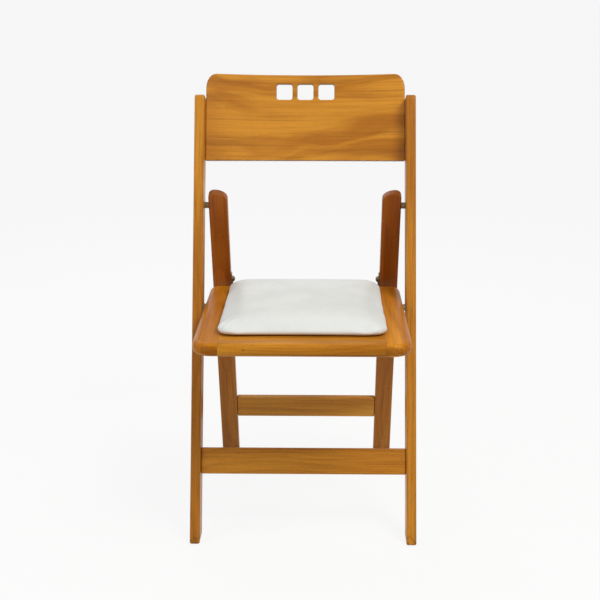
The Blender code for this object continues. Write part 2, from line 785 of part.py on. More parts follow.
def make_slide_bracket(name, side, material, parent):
    """A plate under the seat with an ear that rises behind it and carries the slide pin."""
    outer = side * (LEG_INNER - EAR_GAP)
    inner = outer - side * BRACKET_WIDTH
    top = -SEAT_TOP - GAP
    bottom = top - BRACKET_THICKNESS
    back = PIN_BACK + EAR_RADIUS
    bm = bmesh.new()
    plan = box_outline(min(outer, inner), max(outer, inner), SEAT_REAR - BRACKET_REACH, back)
    add_prism(bm, plan, "z", bottom, top)
    bracket = make_piece(name, bm, material, parent)
    ear = bmesh.new()
    ear_outline = rounded((
        (PIN_BACK - EAR_RADIUS, bottom, 0.0),
        (back, bottom, 0.0),
        (back, PIN_UP + EAR_RADIUS, EAR_RADIUS - GAP),
        (PIN_BACK - EAR_RADIUS, PIN_UP + EAR_RADIUS, EAR_RADIUS - GAP),
    ))
    add_prism(ear, ear_outline, "x", outer, outer - side * BRACKET_THICKNESS)
    apply_boolean(bracket, ear, "UNION")
    holes = bmesh.new()
    past_outer = outer + side * CUT_PAST
    past_inner = outer - side * (BRACKET_THICKNESS + CUT_PAST)
    add_round(holes, (PIN_BACK, PIN_UP), PIN_RADIUS + GAP, "x", past_outer, past_inner)
    for place in bracket_screws(side):
        add_round(holes, place, SCREW_RADIUS + GAP, "z", bottom - CUT_PAST, top + CUT_PAST)
    apply_boolean(bracket, holes)
    return bracket


def make_glide(name, x, y, z, tilt, material, parent):
    """A round glide under a foot, level with the floor whatever the leg's lean."""
    bm = bmesh.new()
    add_round(bm, (x, y), GLIDE_RADIUS, "z", z, z + GLIDE_HEIGHT)
    bm.transform(Matrix.Rotation(-tilt, 4, "X"))
    return make_piece(name, bm, material, parent)


def build_frame(axis, wood, ply, steel, plastic):
    for label, side in SIDES:
        make_stile("stile_" + label, side, wood, axis)
    make_rail(
        "front_rail", INNER_HALF,
        FRONT_RAIL_SETBACK, FRONT_RAIL_SETBACK + FRONT_RAIL_THICKNESS,
        FRONT_RAIL_UP, FRONT_RAIL_UP + FRONT_RAIL_HEIGHT, wood, axis,
    )
    make_backrest(ply, axis)
    outer = CHAIR_WIDTH / 2
    for label, side in SIDES:
        for level, up in zip(("lower", "upper"), back_screw_heights()):
            make_fastener(
                "back_screw_" + level + "_" + label, (back_screw_setback(), up), "x",
                side * (outer - SCREW_HEAD_HEIGHT - GAP), side * (INNER_HALF - BACK_SCREW_BITE),
                SCREW_RADIUS, SCREW_HEAD_RADIUS, SCREW_HEAD_HEIGHT, steel, axis,
            )
        head_face = side * (outer - BOLT_HEAD_HEIGHT - GAP)
        for kind, place, reach, piece_face in (
            ("leg", (LEG_PIVOT_BACK, LEG_PIVOT_UP), LEG_OUTER - LEG_BUSH_LENGTH, LEG_OUTER),
            ("seat", (SEAT_PIVOT_BACK, SEAT_PIVOT_UP), SEAT_HALF - SEAT_BUSH_LENGTH, SEAT_HALF),
        ):
            make_fastener(
                kind + "_pivot_bolt_" + label, place, "x", head_face, side * (reach + GAP),
                BOLT_RADIUS, BOLT_HEAD_RADIUS, BOLT_HEAD_HEIGHT, steel, axis,
            )
            make_tube(
                kind + "_pivot_spacer_" + label, place, SPACER_RADIUS, BOLT_RADIUS + GAP,
                side * (piece_face + GAP), side * (INNER_HALF - GAP), steel, axis,
            )
        foot = FOOT_LEVEL / math.cos(STILE_LEAN) + STILE_DEPTH / 2 * math.tan(STILE_LEAN)
        place = frame_point(STILE_DEPTH / 2, foot)
        x = side * (outer - STILE_THICKNESS / 2)
        make_glide("front_glide_" + label, x, place.x, 0.0, -STILE_LEAN, plastic, axis)


def build_rear_frame(axis, wood, steel, plastic):
    for label, side in SIDES:
        make_rear_leg("rear_leg_" + label, side, wood, axis)
        make_tube(
            "leg_pivot_bush_" + label, (0.0, 0.0), BOLT_RADIUS + GAP + BUSH_WALL, BOLT_RADIUS + GAP,
            side * LEG_OUTER, side * (LEG_OUTER - LEG_BUSH_LENGTH), steel, axis,
        )
        make_guide_plate("guide_plate_" + label, side, steel, axis)
        for level, place in zip(("upper", "lower"), plate_screws()):
            make_fastener(
                "plate_screw_" + level + "_" + label, place, "x",
                side * (LEG_INNER - GAP), side * (LEG_INNER + PLATE_THICKNESS + FITTING_SCREW_BITE),
                SCREW_RADIUS, SCREW_HEAD_RADIUS, SCREW_HEAD_HEIGHT, steel, axis,
            )
        drop = LEG_PIVOT.y - FOOT_LEVEL
        x = side * (LEG_OUTER - LEG_WIDTH / 2)
        make_glide(
            "rear_glide_" + label, x, drop * math.tan(LEG_LEAN), -LEG_PIVOT.y, LEG_LEAN, plastic, axis
        )
    make_rail(
        "rear_rail", LEG_INNER, -REAR_RAIL_THICKNESS / 2, REAR_RAIL_THICKNESS / 2,
        -REAR_RAIL_DOWN - REAR_RAIL_HEIGHT, -REAR_RAIL_DOWN, wood, axis,
    )


def build_seat(axis, wood, ply, vinyl, steel):
    make_seat_board(wood, axis)
    for label, side in SIDES:
        make_seat_side("seat_side_" + label, side, wood, axis)
    make_cushion_base(ply, axis)
    make_cushion(vinyl, axis)
    under = -SEAT_TOP - GAP
    for corner, place in zip(("front_left", "front_right", "rear_right", "rear_left"), cushion_screws()):
        make_fastener(
            "cushion_screw_" + corner, place, "z", under, SEAT_TOP + GAP + CUSHION_SCREW_BITE,
            SCREW_RADIUS, SCREW_HEAD_RADIUS, SCREW_HEAD_HEIGHT, steel, axis,
        )
    for label, side in SIDES:
        make_tube(
            "seat_pivot_bush_" + label, (0.0, 0.0), BOLT_RADIUS + GAP + BUSH_WALL, BOLT_RADIUS + GAP,
            side * SEAT_HALF, side * (SEAT_HALF - SEAT_BUSH_LENGTH), steel, axis,
        )
        make_slide_bracket("slide_bracket_" + label, side, steel, axis)
        ear_inner = LEG_INNER - EAR_GAP - BRACKET_THICKNESS - GAP
        make_fastener(
            "slide_pin_" + label, (PIN_BACK, PIN_UP), "x", side * ear_inner,
            side * (LEG_INNER + PLATE_THICKNESS - GAP),
            PIN_RADIUS, PIN_HEAD_RADIUS, PIN_HEAD_HEIGHT, steel, axis,
        )
        for level, place in zip(("front", "rear"), bracket_screws(side)):
            make_fastener(
                "bracket_screw_" + level + "_" + label, place, "z", under - BRACKET_THICKNESS - GAP,
                -SEAT_TOP + FITTING_SCREW_BITE,
                SCREW_RADIUS, SCREW_HEAD_RADIUS, SCREW_HEAD_HEIGHT, steel, axis,
            )


def centre_over_origin(chair):
    """Shift the chair along Y so that its box stands with its middle over the origin."""
    bpy.context.view_layer.update()
    depsgraph = bpy.context.evaluated_depsgraph_get()
    reach = []
    for piece in bpy.data.objects:
        if piece.type != "MESH" or piece.hide_render:
            continue
        solid = piece.evaluated_get(depsgraph)
        reach += [(solid.matrix_world @ vertex.co).y for vertex in solid.data.vertices]
    chair.location.y = -(min(reach) + max(reach)) / 2


def main():
    clear_scene()
    wood = make_material("honey_wood", (0.50, 0.215, 0.050), 0.32)
    ply = make_material("honey_ply", (0.52, 0.225, 0.048), 0.30)
    vinyl = make_material("white_vinyl", (0.84, 0.84, 0.82), 0.42)
    steel = make_material("dark_steel", (0.33, 0.31, 0.29), 0.38, 1.0)
    plastic = make_material("dark_plastic", (0.035, 0.030, 0.028), 0.55)

    chair = make_empty("chair", 0.0, 0.0, 0.0, None)
    frame_axis = make_empty("frame_axis", 0.0, 0.0, -STILE_LEAN, chair)
    leg_axis = make_empty("leg_axis", LEG_PIVOT.x, LEG_PIVOT.y, LEG_LEAN, chair)
    seat_axis = make_empty("seat_axis", SEAT_PIVOT.x, SEAT_PIVOT.y, 0.0, chair)
    build_frame(frame_axis, wood, ply, steel, plastic)
    build_rear_frame(leg_axis, wood, steel, plastic)
    build_seat(seat_axis, wood, ply, vinyl, steel)
    centre_over_origin(chair)


main()
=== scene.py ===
"""Looks of a folding wooden chair: honey lacquer, a stuffed vinyl pad and old steel fittings.

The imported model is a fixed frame. This script gives its pieces their finish, stuffs the pad,
cuts the drives of the fasteners, and sets the floor, the lamps and the camera.
Metres, +Z up, and the chair faces -Y.
"""

import json
import math
from collections import namedtuple

import bmesh
import bpy
from mathutils import Matrix
from mathutils import Vector
from mathutils import noise

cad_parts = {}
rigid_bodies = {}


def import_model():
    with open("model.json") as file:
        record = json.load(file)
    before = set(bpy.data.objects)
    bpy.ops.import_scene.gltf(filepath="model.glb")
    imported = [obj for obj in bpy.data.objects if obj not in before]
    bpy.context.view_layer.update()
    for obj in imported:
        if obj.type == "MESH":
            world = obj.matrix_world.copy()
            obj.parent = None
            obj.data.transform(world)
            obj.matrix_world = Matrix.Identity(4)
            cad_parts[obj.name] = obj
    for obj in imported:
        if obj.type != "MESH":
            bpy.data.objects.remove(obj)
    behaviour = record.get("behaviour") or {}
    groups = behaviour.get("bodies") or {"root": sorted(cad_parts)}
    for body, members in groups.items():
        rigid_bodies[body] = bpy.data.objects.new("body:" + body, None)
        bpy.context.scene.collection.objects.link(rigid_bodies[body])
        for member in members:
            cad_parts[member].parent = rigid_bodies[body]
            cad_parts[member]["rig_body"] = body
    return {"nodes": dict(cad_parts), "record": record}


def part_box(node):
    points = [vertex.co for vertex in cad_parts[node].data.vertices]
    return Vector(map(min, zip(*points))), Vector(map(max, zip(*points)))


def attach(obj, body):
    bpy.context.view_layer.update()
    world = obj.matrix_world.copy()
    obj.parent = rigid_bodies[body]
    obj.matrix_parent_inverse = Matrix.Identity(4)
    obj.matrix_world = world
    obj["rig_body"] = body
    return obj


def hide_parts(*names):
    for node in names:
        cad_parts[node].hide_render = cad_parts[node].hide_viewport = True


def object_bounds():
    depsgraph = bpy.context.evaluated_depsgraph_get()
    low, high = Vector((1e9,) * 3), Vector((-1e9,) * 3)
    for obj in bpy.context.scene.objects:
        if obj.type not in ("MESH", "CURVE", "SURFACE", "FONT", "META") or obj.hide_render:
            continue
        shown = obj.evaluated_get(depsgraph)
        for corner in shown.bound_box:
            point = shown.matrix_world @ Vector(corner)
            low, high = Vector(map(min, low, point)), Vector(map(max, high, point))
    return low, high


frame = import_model()
CAD_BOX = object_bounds()
NODES = frame["nodes"]

# Directions of the wood: the stiles lean back by one angle, the rear legs forward by the other
STILE_LEAN = math.radians(19.0)
LEG_LEAN = math.radians(20.0)
ACROSS_CHAIR = Vector((1.0, 0.0, 0.0))
FRONT_TO_BACK = Vector((0.0, 1.0, 0.0))
UPWARD = Vector((0.0, 0.0, 1.0))
ALONG_STILE = Vector((0.0, math.sin(STILE_LEAN), math.cos(STILE_LEAN)))
ALONG_LEG = Vector((0.0, -math.sin(LEG_LEAN), math.cos(LEG_LEAN)))

# Sockets of a colour Mix node, and weights that read a colour as one number
MIX_SHARE, MIX_FIRST, MIX_SECOND, MIX_RESULT = 0, 6, 7, 2
RED_ALONE = (1.0, 0.0, 0.0)
UNEVEN_SUM = (0.5, 0.3, 0.2)

# Colours of the wood, tones that multiply them, and the heights where the legs' painted shade
# turns to painted light
HONEY_BRIGHT = (0.66, 0.275, 0.024)
HONEY = (0.43, 0.152, 0.009)
HONEY_DARK = (0.190, 0.052, 0.003)
BARK_BROWN = (0.075, 0.022, 0.003)
BARE_BEECH = (0.62, 0.34, 0.115)
FRAME_TONE = (1.0, 1.0, 1.0)
# Rear legs: a redder stain darkened by painted shade above, and low down a paler tone of painted
# floor light
LEG_STAIN_AND_SHADE = (0.62, 0.42, 0.50)
LEG_LOW_PAINTED_LIGHT = (0.86, 0.80, 1.20)
LEG_SHADE_TO_LIGHT_HEIGHTS = (0.26, 0.46)
# Rear rail: a paler, less saturated tone that is painted light
RAIL_PAINTED_LIGHT = (1.25, 1.42, 2.20)
SIDE_TONE = (1.15, 1.09, 0.85)

# Lacquer
FRAME_GLOSS = 0.16
SEAT_GLOSS = 0.08
COAT_SHARE = 0.5
COAT_IOR = 1.5
WOOD_COAT_ROUGHNESS = 0.10
PLY_COAT = 0.12
PLY_COAT_ROUGHNESS = 0.09
SHEEN_SPAN = (0.25, 0.75)
WOOD_SHEEN_RATE = 9.0
WOOD_ROUGHNESS = (0.27, 0.43)
PLY_SHEEN_RATE = 7.0
PLY_ROUGHNESS = (0.24, 0.40)

# Grain. Scales run along, across and through it; a span is where a pattern starts and is full
DRIFT_SCALES = (1.6, 15.0, 15.0)
DRIFT_SPAN = (0.36, 0.64)
RING_SCALES = (0.9, 14.0, 14.0)
RING_BEND_SCALES = (3.0, 12.0, 12.0)
RING_BEND = (0.0, 0.55, 0.55)
RING_RATE = 3.2
RING_WARP = 2.4
RING_WARP_RATE = 0.8
RING_SPAN = (0.40, 1.0)
RING_DARKENS = 0.22
FIBRE_DARK_SPAN = (0.48, 0.76)
FIBRE_PALE_SPAN = (0.46, 0.24)
FIBRE_RELIEF = 0.5
WOOD_FIBRE_SCALES = (7.0, 420.0, 420.0)
WOOD_FIBRE_DARKENS = 0.48
WOOD_FIBRE_BRIGHTENS = 0.30
WOOD_FLECK_SCALES = (110.0, 850.0, 850.0)
WOOD_FLECK_SPAN = (0.655, 0.74)
WOOD_FLECK_DARKENS = 0.50
WOOD_FLECK_RELIEF = 0.6
WOOD_RELIEF = (0.16, 0.0006)
END_GRAIN_SPAN = (0.72, 0.95)
END_GRAIN_DARKENS = 0.55

# Bent plywood of the back
PLY_THICKNESS = 0.010
PLY_COUNT = 7
PLY_LAYER_SPAN = (0.35, 0.65)
PLY_CUT_SPAN = (0.75, 0.35)
PLY_CUT_SHOWS = 0.8
FLAME_SCALES = (1.1, 9.0, 0.0)
FLAME_BEND_SCALES = (3.4, 9.0, 0.0)
FLAME_BEND = (0.0, 1.6, 0.0)
FLAME_RATE = 1.6
FLAME_SPAN = (0.40, 0.60)
STREAK_SCALES = (2.6, 75.0, 0.0)
STREAK_SPAN = (0.48, 0.72)
STREAK_DARKENS = 0.38
LINE_SCALES = (1.3, 240.0, 0.0)
LINE_SPAN = (0.50, 0.70)
LINE_DARKENS = 0.28
PLY_FIBRE_SCALES = (9.0, 520.0, 0.0)
PLY_FIBRE_DARKENS = 0.36
PLY_FIBRE_BRIGHTENS = 0.20
PLY_FLECK_SCALES = (120.0, 900.0, 0.0)
PLY_FLECK_SPAN = (0.66, 0.75)
PLY_FLECK_DARKENS = 0.32
PLY_FLECK_RELIEF = 0.5
PLY_RELIEF = (0.12, 0.0005)

# Wear: edges rubbed bare, feet scuffed dark, and a few knocks
EDGE_SAMPLES = 6
EDGE_SPAN = (0.995, 0.90)
RUB_RATE = 34.0
WOOD_RUB_WIDTH = 0.0028
WOOD_RUB_SPAN = (0.46, 0.66)
WOOD_RUB_SHOWS = 0.55
WOOD_WEAR_DULLS = 0.22
PLY_RUB_WIDTH = 0.002
PLY_RUB_SPAN = (0.48, 0.66)
PLY_RUB_SHOWS = 0.4
PLY_WEAR_DULLS = 0.2
SCUFF_HEIGHT = 0.030
SCUFF_RATE = 120.0
SCUFF_SPAN = (0.40, 0.62)
SCUFF_DARKENS = 0.7
KNOCK_RATE = 26.0
KNOCK_SPAN = (0.060, 0.026)
KNOCK_RARITY = 0.86
KNOCK_DARKENS = 0.75

# Vinyl
VINYL_WHITE = (0.79, 0.82, 0.805)
VINYL_GREY = (0.725, 0.755, 0.74)
PEBBLE_GREY = (0.60, 0.59, 0.56)
SOILED_BROWN = (0.52, 0.47, 0.38)
CLOUD_RATE = 11.0
CLOUD_SPAN = (0.30, 0.70)
PEBBLE_RATE = 620.0
PEBBLE_SPAN = (0.30, 0.75)
PEBBLE_DARKENS = 0.10
PORE_RATE = 1500.0
PORE_RELIEF = 0.25
SOILED_HEIGHT = 0.010
SOILED_RATE = 42.0
SOILED_SPAN = (0.35, 0.75)
SOILED_SHOWS = 0.30
VINYL_ROUGHNESS = (0.42, 0.56)
VINYL_RELIEF = (0.10, 0.0004)
VINYL_SHEEN = 0.06
VINYL_COAT = 0.03
VINYL_COAT_ROUGHNESS = 0.35

# Steel and plastic
STEEL_DARK = (0.17, 0.125, 0.075)
STEEL_PALE = (0.29, 0.225, 0.145)
STEEL_GRIME = (0.09, 0.06, 0.038)
SPANGLE_RATE = 420.0
SPANGLE_SPAN = (0.2, 0.8)
GRIME_RATE = 130.0
GRIME_SPAN = (0.50, 0.74)
GRIME_DARKENS = 0.45
GRIME_DULLS = 0.2
SCRATCH_SCALES = (240.0, 2400.0, 900.0)
STEEL_ROUGHNESS = (0.26, 0.44)
STEEL_RELIEF = (0.10, 0.0002)
PLASTIC_DARK = (0.030, 0.027, 0.025)
PLASTIC_GREY = (0.14, 0.13, 0.12)
PLASTIC_RATE = 900.0
PLASTIC_SPAN = (0.3, 0.7)
PLASTIC_ROUGHNESS = (0.48, 0.66)
PLASTIC_RELIEF = (0.15, 0.0003)
PLASTIC_SCUFF_SCALES = (90.0, 300.0, 60.0)
PLASTIC_SCUFF_SPAN = (0.52, 0.70)
PLASTIC_SCUFF_SHOWS = 0.5

# The pad's stuffing and cover
PAD_VOXEL = 0.005
PAD_SMOOTHING = 10
PAD_SETTLING = 24
PAD_START = Vector((0.99, 0.99, 0.96))
PAD_PRESSURE = 2.0
PAD_FRAMES = 20
PAD_SWELL = 0.004
PAD_GRIP = 0.0035
PAD_PROUD = Vector((0.0, 0.0, 0.001))
COVER_QUALITY = 6
COVER_MASS = 0.3
COVER_TENSION = 22.0
COVER_COMPRESSION = 14.0
COVER_BENDING = 1.2
GATHER_RATE = 52.0
GATHER_DEPTH = 0.0008
GATHER_FROM = 0.62
GATHER_TOP = 0.75
SLACK_RATES = Vector((24.0, 24.0, 36.0))
SLACK_DEPTH = 0.0011
SLACK_RIM_POWER = 6
COVER_LIFT = 0.3
# Soft creases in the cover, in shares of the pad's half sizes: from, to, depth, half width
CREASES = (
    ((-0.96, -0.95), (-0.80, -0.72), 0.0034, 0.0050),
    ((-0.90, -0.97), (-0.66, -0.84), 0.0009, 0.0060),
    ((0.95, -0.92), (0.86, -0.74), 0.0008, 0.0060),
    ((0.90, 0.90), (0.80, 0.78), 0.0006, 0.0070),
    ((-0.90, 0.90), (-0.82, 0.76), 0.0006, 0.0070),
)
CREASE_FADE = 0.6

# Fasteners; the shares are of their own radii and head heights
TURNED_SIDES = 40
HEX_SIDES = 6
RING_DECIMALS = 5
TIP_RADIUS_SHARE = 0.7
TIP_LENGTH_SHARE = 0.4
HEAD_EASE_SHARE = 0.28
CROWN_DROP_SHARE = 0.3
CROWN_INSET_SHARE = 0.35
DRIVE_DEPTH_SHARE = 0.62
CROSS_REACH_SHARE = 0.62
CROSS_ARM_SHARE = 0.24
HEX_REACH_SHARE = 0.50
SHARP_ANGLE = math.radians(32.0)

# Studio: the camera sees a paler floor than the one that throws light back at the chair
FLOOR_HALF = 400.0
FLOOR_CLEAR = 0.0003
FLOOR_PALE = (0.82, 0.82, 0.82)
FLOOR_BOUNCE = (0.60, 0.60, 0.60)
FLOOR_ROUGHNESS = 0.85
FLOOR_GLOW = 0.88
WORLD_LEVEL = 0.38
FAR_FLOOR = FLOOR_GLOW + (1.0 - FLOOR_GLOW) * FLOOR_PALE[0] * WORLD_LEVEL
# Lamps: name, place, side, power, colour
LAMPS = (
    ("key", Vector((1.25, -1.50, 2.75)), 1.1, 50.0, (1.0, 0.97, 0.92)),
    ("fill", Vector((-2.1, -1.5, 1.2)), 1.8, 18.0, (0.96, 0.98, 1.0)),
    ("back", Vector((-0.6, 2.0, 2.3)), 1.4, 11.0, (1.0, 1.0, 1.0)),
)

# Camera, fitted to the photograph, whose frame is square
LENS = 72.46
SENSOR = 36.0
CAMERA_REACH = 2.2617
CAMERA_HEIGHT = 1.0499
CAMERA_PITCH = math.radians(15.20)
CAMERA_TURN = math.radians(0.86)
PHOTO_SIDE = 600
CHAIR_PIXEL = 304.3


class Tree:
    """The nodes of a material or of the world, with short ways to add and join them."""

    def __init__(self, owner):
        owner.use_nodes = True
        self.owner = owner
        self.nodes = owner.node_tree.nodes
        self.links = owner.node_tree.links
        self.shader = self.nodes.get("Principled BSDF")

    def feed(self, socket, value):
        """Give a socket a link or a fixed value."""
        if isinstance(value, bpy.types.NodeSocket):
            self.links.new(value, socket)
        elif isinstance(value, (tuple, Vector)) and len(value) == 3 and socket.type == "RGBA":
            socket.default_value = (*value, 1.0)
        else:
            socket.default_value = value

    def add(self, kind, settings, sockets):
        node = self.nodes.new("ShaderNode" + kind)
        for name, value in settings.items():
            setattr(node, name, value)
        for name, value in sockets.items():
            self.feed(node.inputs[name], value)
        return node

    def math(self, operation, first, second=0.0):
        node = self.add("Math", {"operation": operation}, {})
        self.feed(node.inputs[0], first)
        self.feed(node.inputs[1], second)
        return node.outputs[0]

    def times(self, first, second):
        return self.math("MULTIPLY", first, second)

    def vector(self, operation, first, second):
        node = self.add("VectorMath", {"operation": operation}, {})
        self.feed(node.inputs[0], first)
        self.feed(node.inputs[1], second)
        return node

    def dot(self, vector, direction):
        return self.vector("DOT_PRODUCT", vector, direction).outputs["Value"]

    def stretch(self, vector, scales):
        return self.vector("MULTIPLY", vector, scales).outputs[0]

    def shift(self, vector, by):
        return self.vector("ADD", vector, by).outputs[0]

    def span(self, value, low, high, to_low=0.0, to_high=1.0):
        """Value carried smoothly from one span to another."""
        node = self.add("MapRange", {"interpolation_type": "SMOOTHSTEP"}, {
            "Value": value, "From Min": low, "From Max": high, "To Min": to_low, "To Max": to_high,
        })
        return node.outputs["Result"]

    def mix(self, share, first, second, blend="MIX"):
        node = self.add("Mix", {"data_type": "RGBA", "blend_type": blend}, {})
        self.feed(node.inputs[MIX_SHARE], share)
        self.feed(node.inputs[MIX_FIRST], first)
        self.feed(node.inputs[MIX_SECOND], second)
        return node.outputs[MIX_RESULT]

    def noise(self, vector, scale=1.0, detail=2.0, rough=0.5, warp=0.0):
        node = self.add("TexNoise", {}, {
            "Vector": vector, "Scale": scale, "Detail": detail, "Roughness": rough,
            "Distortion": warp,
        })
        return node.outputs["Fac"]

    def bent(self, vector, scales, bend_scales, bend):
        """Coordinates stretched, and pushed about by a slow coloured noise."""
        push = self.add("TexNoise", {}, {
            "Vector": self.stretch(vector, bend_scales), "Scale": 1.0, "Detail": 2.0,
        })
        return self.shift(
            self.stretch(vector, scales), self.stretch(push.outputs["Color"], bend))

    def cells(self, vector, scale):
        return self.add("TexVoronoi", {}, {"Vector": vector, "Scale": scale})

    def place(self):
        """Where a point is on the piece, at rest."""
        return self.add("TexCoord", {}, {}).outputs["Object"]

    def facing(self):
        """Which way the piece's surface faces, at rest."""
        return self.add("TexCoord", {}, {}).outputs["Normal"]

    def edges(self, radius):
        """1 along sharp edges and 0 on flat faces."""
        eased = self.add("Bevel", {"samples": EDGE_SAMPLES}, {"Radius": radius}).outputs[0]
        face = self.add("NewGeometry", {}, {}).outputs["Normal"]
        return self.span(self.dot(eased, face), *EDGE_SPAN)

    def bump(self, height, strength, distance):
        node = self.add("Bump", {}, {"Height": height, "Strength": strength, "Distance": distance})
        return node.outputs[0]

    def finish(self, colour, roughness, normal, **constants):
        """Join the shader up; what is the same all over is set on its own socket."""
        self.feed(self.shader.inputs["Base Color"], colour)
        self.feed(self.shader.inputs["Roughness"], roughness)
        self.feed(self.shader.inputs["Normal"], normal)
        for name, value in constants.items():
            socket = name.replace("_", " ").title().replace("Ior", "IOR")
            self.feed(self.shader.inputs[socket], value)
        return self.owner


def material_tree(name):
    return Tree(bpy.data.materials.new(name))


def grain_space(tree, along, across):
    """Coordinates with X along the grain, whichever way the piece stands."""
    place = tree.place()
    through = along.cross(across)
    axes = tree.add("CombineXYZ", {}, {
        "X": tree.dot(place, along),
        "Y": tree.dot(place, across),
        "Z": tree.dot(place, through),
    })
    return axes.outputs[0]


def growth_rings(tree, grain):
    warped = tree.bent(grain, RING_SCALES, RING_BEND_SCALES, RING_BEND)
    settings = {"wave_type": "RINGS", "rings_direction": "X", "wave_profile": "SAW"}
    node = tree.add("TexWave", settings, {
        "Vector": warped, "Scale": RING_RATE, "Distortion": RING_WARP, "Detail": 2.0,
        "Detail Scale": RING_WARP_RATE,
    })
    return node.outputs["Fac"]


def lacquered_wood(name, along, across, shift, tone=FRAME_TONE, low_painted_light=None, gloss=FRAME_GLOSS):
    """Beech under honey lacquer: drifting bands, late-wood lines, fibres, flecks and wear.

    The rear rail's tone is painted light, and the rear legs' tone is a redder stain with painted
    shade; where a low tone of painted light is given, it takes over low down on the piece.
    """
    tree = material_tree(name)
    grain = tree.shift(grain_space(tree, along, across), shift)
    height = tree.dot(tree.place(), UPWARD)
    drift = tree.noise(tree.stretch(grain, DRIFT_SCALES), detail=3.0, rough=0.55, warp=0.4)
    rings = growth_rings(tree, grain)
    fibres = tree.noise(tree.stretch(grain, WOOD_FIBRE_SCALES), detail=3.0, rough=0.6)
    flecks = tree.noise(tree.stretch(grain, WOOD_FLECK_SCALES), detail=1.0)
    flecks = tree.span(flecks, *WOOD_FLECK_SPAN)
    end_grain = tree.span(tree.math("ABSOLUTE", tree.dot(tree.facing(), along)), *END_GRAIN_SPAN)

    colour = tree.mix(tree.span(drift, *DRIFT_SPAN), HONEY, HONEY_BRIGHT)
    colour = tree.mix(tree.times(tree.span(rings, *RING_SPAN), RING_DARKENS), colour, HONEY_DARK)
    darkened = tree.span(fibres, *FIBRE_DARK_SPAN, to_high=WOOD_FIBRE_DARKENS)
    colour = tree.mix(darkened, colour, HONEY_DARK)
    brightened = tree.span(fibres, *FIBRE_PALE_SPAN, to_high=WOOD_FIBRE_BRIGHTENS)
    colour = tree.mix(brightened, colour, HONEY_BRIGHT)
    colour = tree.mix(tree.times(flecks, WOOD_FLECK_DARKENS), colour, BARK_BROWN)
    # Painted light and shade: the tone above gives way low down to a paler tone of painted floor
    # light
    if low_painted_light:
        tone = tree.mix(tree.span(height, *LEG_SHADE_TO_LIGHT_HEIGHTS), low_painted_light, tone)
    colour = tree.mix(1.0, colour, tone, "MULTIPLY")
    colour = tree.mix(tree.times(end_grain, END_GRAIN_DARKENS), colour, HONEY_DARK)

    knocks = tree.cells(grain, KNOCK_RATE)
    knock_near = tree.span(knocks.outputs["Distance"], *KNOCK_SPAN)
    knock_draw = tree.dot(knocks.outputs["Color"], RED_ALONE)
    knock = tree.times(knock_near, tree.math("GREATER_THAN", knock_draw, KNOCK_RARITY))
    colour = tree.mix(tree.times(knock, KNOCK_DARKENS), colour, BARK_BROWN)

    patches = tree.noise(grain, RUB_RATE, detail=3.0, rough=0.6)
    rubbed = tree.times(tree.edges(WOOD_RUB_WIDTH), tree.span(patches, *WOOD_RUB_SPAN))
    colour = tree.mix(tree.times(rubbed, WOOD_RUB_SHOWS), colour, BARE_BEECH)

    low_down = tree.span(height, SCUFF_HEIGHT, 0.0)
    scuffs = tree.noise(grain, SCUFF_RATE, detail=4.0, rough=0.65)
    scuffed = tree.times(low_down, tree.span(scuffs, *SCUFF_SPAN))
    colour = tree.mix(tree.times(scuffed, SCUFF_DARKENS), colour, BARK_BROWN)

    sheen_drift = tree.noise(grain, WOOD_SHEEN_RATE, detail=4.0, rough=0.6)
    roughness = tree.span(sheen_drift, *SHEEN_SPAN, *WOOD_ROUGHNESS)
    dulled = tree.times(tree.math("MAXIMUM", rubbed, scuffed), WOOD_WEAR_DULLS)
    roughness = tree.math("ADD", roughness, dulled)
    pits = tree.times(flecks, WOOD_FLECK_RELIEF)
    relief = tree.math("SUBTRACT", tree.times(fibres, FIBRE_RELIEF), pits)
    relief = tree.math("SUBTRACT", relief, knock)
    return tree.finish(
        colour, roughness, tree.bump(relief, *WOOD_RELIEF), specular_ior_level=gloss,
        coat_weight=gloss * COAT_SHARE, coat_roughness=WOOD_COAT_ROUGHNESS, coat_ior=COAT_IOR,
    )


def ply_layers(tree, through):
    """Colour of the plies, stacked through the thickness and following the bend of the back."""
    corners = [vertex.co for vertex in NODES["backrest_panel"].data.vertices]
    depths = [corner.dot(through) for corner in corners]
    half = max(corner.x for corner in corners)
    bend = max(depths) - min(depths) - PLY_THICKNESS
    across = tree.math("DIVIDE", tree.dot(tree.place(), ACROSS_CHAIR), half)
    sag = tree.times(tree.times(across, across), bend)
    depth = tree.math("ADD", tree.dot(tree.place(), through), sag)
    from_face = tree.math("SUBTRACT", depth, max(depths))
    layer = tree.math("PINGPONG", tree.times(from_face, PLY_COUNT / PLY_THICKNESS), 1.0)
    return tree.mix(tree.span(layer, *PLY_LAYER_SPAN), HONEY_DARK, BARK_BROWN)


